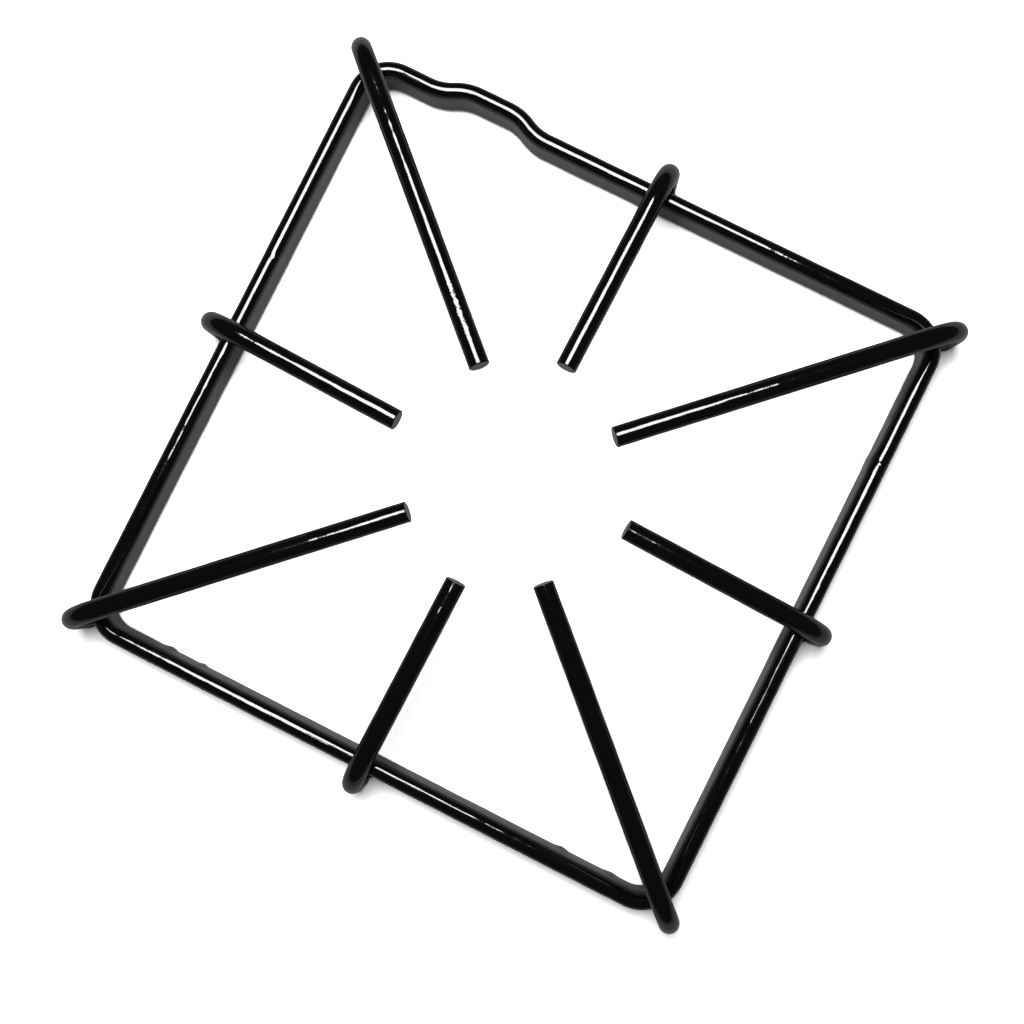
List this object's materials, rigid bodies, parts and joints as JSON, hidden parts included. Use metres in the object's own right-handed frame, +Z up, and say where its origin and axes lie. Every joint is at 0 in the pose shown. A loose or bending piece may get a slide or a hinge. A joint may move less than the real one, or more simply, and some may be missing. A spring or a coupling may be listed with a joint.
{
  "type": "hob pan support",
  "caption": "Square wire pan support for a gas hob: a ring of flat bar on edge with bent round rods that reach in over the burner, in black enamel.",
  "frame": {"origin": "on the hob under the centre of the ring, at the bottom centre of the bounding box", "axes": "+Z up through the burner space, +Y towards the side of the ring with the wave, +X towards the east side finger"},
  "size_m": [0.2222, 0.2222, 0.0305],
  "materials": {
    "black_enamel": "glossy black vitreous enamel"
  },
  "bodies": {
    "root": {"perimeter_ring": "black_enamel", "side_finger_east": "black_enamel", "side_finger_north": "black_enamel", "side_finger_west": "black_enamel", "side_finger_south": "black_enamel", "corner_finger_northeast": "black_enamel", "corner_finger_northwest": "black_enamel", "corner_finger_southwest": "black_enamel", "corner_finger_southeast": "black_enamel", "side_weld_east": "black_enamel", "side_weld_north": "black_enamel", "side_weld_west": "black_enamel", "side_weld_south": "black_enamel", "corner_weld_northeast": "black_enamel", "corner_weld_northwest": "black_enamel", "corner_weld_southwest": "black_enamel", "corner_weld_southeast": "black_enamel"}
  },
  "joints": []
}
